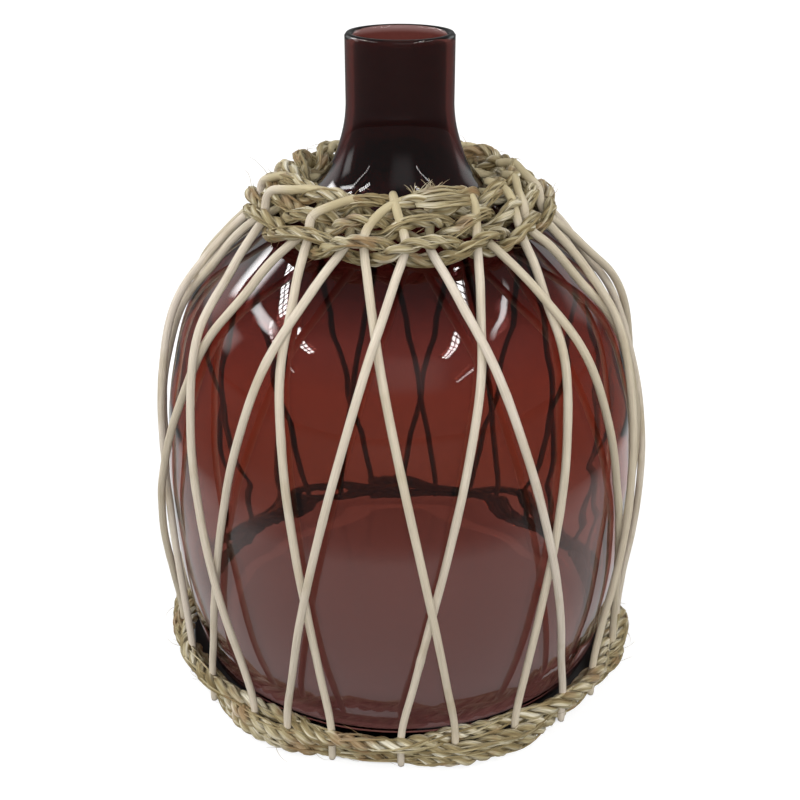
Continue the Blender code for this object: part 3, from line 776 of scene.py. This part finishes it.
def seagrass():
    """Dried seagrass, twisted: olive and straw stretches along it, with brown patches.

    The fibres are drawn 0.3 mm wide, about three times as wide as the real ones.
    The grooves between the plies and between the blades get painted shade from the
    mark, which also darkens some loose blades at random.
    """
    made, tree = new_material("twisted_seagrass")
    lay = add(tree, "ShaderNodeUVMap", uv_map="lay").outputs["UV"]
    mark = add(tree, "ShaderNodeAttribute", attribute_name="mark").outputs["Fac"]
    place = add(tree, "ShaderNodeTexCoord").outputs["Object"]
    fibres_place = add(tree, "ShaderNodeMapping", {
        "Vector": lay, "Rotation": (0, 0, GRASS_FIBRE_TURN),
        "Scale": (1 / GRASS_FIBRE_LENGTH, 1 / GRASS_FIBRE_WIDTH, 1)})
    fibres = add(tree, "ShaderNodeTexNoise", {
        "Vector": fibres_place.outputs["Vector"], "Scale": 1.0, "Detail": 3.0, "Roughness": 0.6})
    stretches_place = add(tree, "ShaderNodeMapping", {
        "Vector": lay, "Scale": (1 / STRETCH_LENGTH, 1 / STRETCH_WIDTH, 1)})
    stretches = add(tree, "ShaderNodeTexNoise", {
        "Vector": stretches_place.outputs["Vector"], "Scale": 1.0, "Detail": 2.0, "Roughness": 0.5})
    patches = add(tree, "ShaderNodeTexNoise", {
        "Vector": place, "Scale": 1 / BROWN_PATCH_LENGTH, "Detail": 2.0, "Roughness": 0.6})
    hues = add(tree, "ShaderNodeValToRGB", {"Fac": stretches.outputs["Fac"]})
    stops = hues.color_ramp.elements
    stops.remove(stops[1])
    stops[0].color = linear(GRASS_HUES[0][1])
    for position, code in GRASS_HUES[1:]:
        stops.new(position).color = linear(code)
    brown = add(tree, "ShaderNodeMapRange", {
        "Value": patches.outputs["Fac"],
        "From Min": 0.54, "From Max": 0.66, "To Min": 0.0, "To Max": 0.6})
    mixed = add(tree, "ShaderNodeMix", {
        0: brown.outputs["Result"], 6: hues.outputs["Color"], 7: linear("#96714f")},
        data_type="RGBA")
    dark = add(tree, "ShaderNodeMapRange", {
        "Value": fibres.outputs["Fac"],
        "From Min": 0.42, "From Max": 0.70, "To Min": 0.0, "To Max": 0.6})
    streaks = add(tree, "ShaderNodeMix", {
        0: dark.outputs["Result"], 6: mixed.outputs[2], 7: linear("#75643f")}, data_type="RGBA")
    # Painted shade in the grooves: a low mark darkens the plies where they meet and between the
    # blades; the loose blades' own marks darken some of them at random.
    groove_shade_and_tone = add(tree, "ShaderNodeMapRange", {
        "Value": mark, "From Min": 0.38, "From Max": 0.88, "To Min": 0.92, "To Max": 0.0})
    groove_shaded_and_toned = add(tree, "ShaderNodeMix", {
        0: groove_shade_and_tone.outputs["Result"], 6: streaks.outputs[2], 7: linear("#42341c")}, data_type="RGBA")
    bump = add(tree, "ShaderNodeBump", {
        "Height": fibres.outputs["Fac"], "Strength": 0.8, "Distance": GRASS_FIBRE_DEPTH})
    surface = add(tree, "ShaderNodeBsdfPrincipled", {
        "Base Color": groove_shaded_and_toned.outputs[2], "Roughness": 0.62, "IOR": 1.45,
        "Normal": bump.outputs["Normal"]})
    add(tree, "ShaderNodeOutputMaterial", {"Surface": surface.outputs["BSDF"]})
    return made


FIRST_ROPE_SEED = 100

grass = seagrass()
rope_nodes = sorted(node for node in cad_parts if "_rope_" in node)
for seed, node in enumerate(rope_nodes, FIRST_ROPE_SEED):
    name = node.replace("rope", "seagrass")
    show(name, rope_mesh(name, node, seed), grass, node)


# The studio
# A pale floor that runs past the view on all sides, a white surround, soft light from
# large lamps, and a hall's window and ceiling lamps that show in the glass.  The
# camera stands where the reference view was taken from.
FLOOR_REACH = 12.0
TABLE_REACH = 0.355
TABLE_EDGE = 0.03
TABLE_MIRRORED_SHARE = 0.68
FLOOR_MIRRORED_SHARE = 0.05
SHADE_REACH = 0.1165
SHADE_EDGE = 0.0025
FLOOR_GLOW = 0.82
ROOM_STRENGTH = 0.38
MIRRORED_STRENGTH = 0.16
CEILING = 2.30
VASE_MIDDLE = (0, 0, 0.15)
CAMERA_PLACE = (0.0, -0.5457, 0.4049)
CAMERA_PITCH = 23.76
CAMERA_NEAREST = 0.01
FOCAL_PIXELS = 1172.5
FRAME_PIXELS = 800
AXIS_ROW = 344.0
SENSOR_WIDTH = 36.0


def pale_floor():
    """A matt white floor that shows near white to the eye and through the glass.

    In reflections only the table top round the vase is bright, and the rest is dim.
    Inside the foot ring the eye and the reflections see it in shade, and only rays
    through the glass see it white.
    """
    made, tree = new_material("matt_white_floor")
    ray = add(tree, "ShaderNodeLightPath").outputs
    place = add(tree, "ShaderNodeTexCoord").outputs["Object"]
    away = add(tree, "ShaderNodeVectorMath", {0: place}, operation="LENGTH").outputs["Value"]
    table = add(tree, "ShaderNodeMapRange", {
        "Value": away, "From Min": TABLE_REACH - TABLE_EDGE, "From Max": TABLE_REACH + TABLE_EDGE,
        "To Min": TABLE_MIRRORED_SHARE, "To Max": FLOOR_MIRRORED_SHARE})
    mirrored = add(tree, "ShaderNodeMath", {
        0: ray["Is Glossy Ray"], 1: table.outputs["Result"]}, operation="MULTIPLY")
    direct = add(tree, "ShaderNodeMath", {
        0: mirrored.outputs[0], 1: ray["Is Camera Ray"]}, operation="MAXIMUM")
    unshaded = add(tree, "ShaderNodeMapRange", {
        "Value": away, "From Min": SHADE_REACH - SHADE_EDGE, "From Max": SHADE_REACH + SHADE_EDGE})
    open_floor = add(tree, "ShaderNodeMath", {
        0: direct.outputs[0], 1: unshaded.outputs["Result"]}, operation="MULTIPLY")
    seen = add(tree, "ShaderNodeMath", {
        0: open_floor.outputs[0], 1: ray["Is Transmission Ray"]}, operation="MAXIMUM")
    plain = add(tree, "ShaderNodeBsdfDiffuse", {"Color": linear("#525252")})
    faint = add(tree, "ShaderNodeBsdfDiffuse", {"Color": linear("#8a8a8a")})
    glow = add(tree, "ShaderNodeEmission", {"Color": linear("#ffffff"), "Strength": FLOOR_GLOW})
    bright = add(tree, "ShaderNodeAddShader", {0: faint.outputs[0], 1: glow.outputs[0]})
    either = add(tree, "ShaderNodeMixShader", {
        0: seen.outputs[0], 1: plain.outputs[0], 2: bright.outputs[0]})
    add(tree, "ShaderNodeOutputMaterial", {"Surface": either.outputs[0]})
    return made


def studio_world():
    """A white surround for the camera and the glass, a plain grey light for the rest.

    In reflections it is a dim room, as round the real vase.
    """
    world = bpy.data.worlds.new("white_surround")
    world.use_nodes = True
    tree = world.node_tree
    tree.nodes.clear()
    ray = add(tree, "ShaderNodeLightPath").outputs
    seen = add(tree, "ShaderNodeMath", {
        0: ray["Is Camera Ray"], 1: ray["Is Transmission Ray"]}, operation="MAXIMUM")
    room = add(tree, "ShaderNodeMapRange", {
        "Value": ray["Is Glossy Ray"], "To Min": ROOM_STRENGTH, "To Max": MIRRORED_STRENGTH})
    strength = add(tree, "ShaderNodeMapRange", {
        "Value": seen.outputs[0], "To Min": room.outputs["Result"], "To Max": 1.0})
    sky = add(tree, "ShaderNodeBackground", {
        "Color": linear("#ffffff"), "Strength": strength.outputs["Result"]})
    add(tree, "ShaderNodeOutputWorld", {"Surface": sky.outputs[0]})
    return world


def panel_lamp(name, start, end, width, power, cells=(1, 1)):
    """A panel of lamps from one point to another, turned to the vase, faded at the edges.

    The light at shares u and v of a cell's two sides is s(4u(1 - u)) s(4v(1 - v)),
    where s rises smoothly from 0 to 1.  Socket 8 is the Map Range's vector From Max.
    """
    start, end = Vector(start), Vector(end)
    light = bpy.data.lights.new(name, "AREA")
    light.shape = "RECTANGLE"
    light.size, light.size_y = (end - start).length, width
    light.energy = power
    light.use_nodes = True
    tree = light.node_tree
    tree.nodes.clear()
    place_on = add(tree, "ShaderNodeNewGeometry").outputs["Parametric"]
    grid = add(tree, "ShaderNodeVectorMath", {0: place_on, 1: (*cells, 1)}, operation="MULTIPLY")
    here = add(tree, "ShaderNodeVectorMath", {0: grid.outputs[0]}, operation="FRACTION").outputs[0]
    rest = add(tree, "ShaderNodeVectorMath", {0: (1, 1, 1), 1: here}, operation="SUBTRACT")
    hump = add(tree, "ShaderNodeVectorMath", {0: here, 1: rest.outputs[0]}, operation="MULTIPLY")
    faded = add(tree, "ShaderNodeMapRange", {"Vector": hump.outputs[0], 8: (0.25, 0.25, 1)},
                data_type="FLOAT_VECTOR", interpolation_type="SMOOTHSTEP")
    sides = add(tree, "ShaderNodeSeparateXYZ", {0: faded.outputs["Vector"]}).outputs
    both = add(tree, "ShaderNodeMath", {0: sides[0], 1: sides[1]}, operation="MULTIPLY")
    glow = add(tree, "ShaderNodeEmission", {"Strength": both.outputs[0]})
    add(tree, "ShaderNodeOutputLight", {"Surface": glow.outputs[0]})
    along = (end - start).normalized()
    centre = (start + end) / 2
    back = centre - Vector(VASE_MIDDLE)
    back = (back - back.dot(along) * along).normalized()
    lamp = bpy.data.objects.new(name, light)
    turn = Matrix((along, back.cross(along), back)).transposed().to_4x4()
    lamp.matrix_world = Matrix.Translation(centre) @ turn
    bpy.context.scene.collection.objects.link(lamp)
    return lamp


floor_corners = [(x * FLOOR_REACH, y * FLOOR_REACH, 0)
                 for x, y in ((-1, -1), (1, -1), (1, 1), (-1, 1))]
floor_mesh = bpy.data.meshes.new("floor")
floor_mesh.from_pydata(floor_corners, [], [(0, 1, 2, 3)])
floor_mesh.materials.append(pale_floor())
floor = bpy.data.objects.new("floor", floor_mesh)
bpy.context.scene.collection.objects.link(floor)

bpy.context.scene.world = studio_world()

# The hall's window, walls and ceiling lamps, as the glass mirrors them: the start, end
# and width of each panel, its watts, and its cells along and across.
for name, start, end, width, power, cells in (
        ("window_left", (-2.30, 2.20, CEILING), (-3.90, 2.30, CEILING), 1.60, 100, (1, 1)),
        ("strip_left", (-3.05, 1.30, CEILING), (-2.45, -0.30, CEILING), 0.30, 18, (1, 1)),
        ("strip_right", (1.90, 0.60, CEILING), (1.66, -0.75, CEILING), 0.12, 6, (1, 1)),
        ("door_left", (-3.10, 0.20, 1.10), (-2.80, 1.20, 1.10), 1.10, 6, (1, 1)),
        ("wall_left", (-1.50, 3.60, 1.30), (-4.30, 2.00, 1.30), 2.00, 17, (1, 1)),
        ("wall_right", (4.30, 2.00, 1.30), (1.50, 3.60, 1.30), 2.00, 17, (1, 1)),
        ("spots_left_back", (-2.02, 1.10, CEILING), (-2.10, 0.08, CEILING), 0.16, 16, (11, 2)),
        ("spots_left_front", (-1.91, -0.38, CEILING), (-1.86, -1.22, CEILING), 0.20, 14, (6, 2)),
        ("spots_right_back", (0.99, 0.04, CEILING), (1.09, -0.34, CEILING), 0.26, 11, (6, 2)),
        ("spots_right_front", (1.00, -0.70, CEILING), (0.90, -1.56, CEILING), 0.14, 11, (9, 2)),
        ("row_left", (-3.79, -2.46, CEILING), (-2.47, 0.20, CEILING), 0.12, 12, (16, 1)),
        ("row_right", (2.00, -3.46, CEILING), (1.98, -1.22, CEILING), 0.12, 10, (14, 1)),
        ("softbox_front", (-1.10, -2.70, CEILING), (1.60, -2.70, CEILING), 2.60, 8, (1, 1))):
    panel_lamp(name, start, end, width, power, cells)

# The fill lamps, which light the vase and don't show in the glass: start, end, width
# and watts.
for name, start, end, width, power in (
        ("fill_front", (-1.60, -3.20, 1.10), (1.60, -3.20, 1.10), 1.60, 118),
        ("fill_left", (-3.20, 0.80, 1.60), (-2.40, -2.20, 1.60), 1.40, 66),
        ("fill_right", (3.20, 0.80, 1.60), (2.40, -2.20, 1.60), 1.40, 50),
        ("fill_back", (1.60, 3.20, 1.50), (-1.60, 3.20, 1.50), 1.40, 56)):
    fill = panel_lamp(name, start, end, width, power)
    fill.visible_glossy = fill.visible_transmission = False

lens = bpy.data.cameras.new("camera")
lens.sensor_width = SENSOR_WIDTH
lens.lens = FOCAL_PIXELS / FRAME_PIXELS * SENSOR_WIDTH
lens.shift_y = (AXIS_ROW - FRAME_PIXELS / 2) / FRAME_PIXELS
lens.clip_start = CAMERA_NEAREST
camera = bpy.data.objects.new("camera", lens)
camera.location = CAMERA_PLACE
camera.rotation_euler = (np.radians(90 - CAMERA_PITCH), 0, 0)
bpy.context.scene.collection.objects.link(camera)
bpy.context.scene.camera = camera
bpy.context.scene.view_settings.view_transform = "Standard"
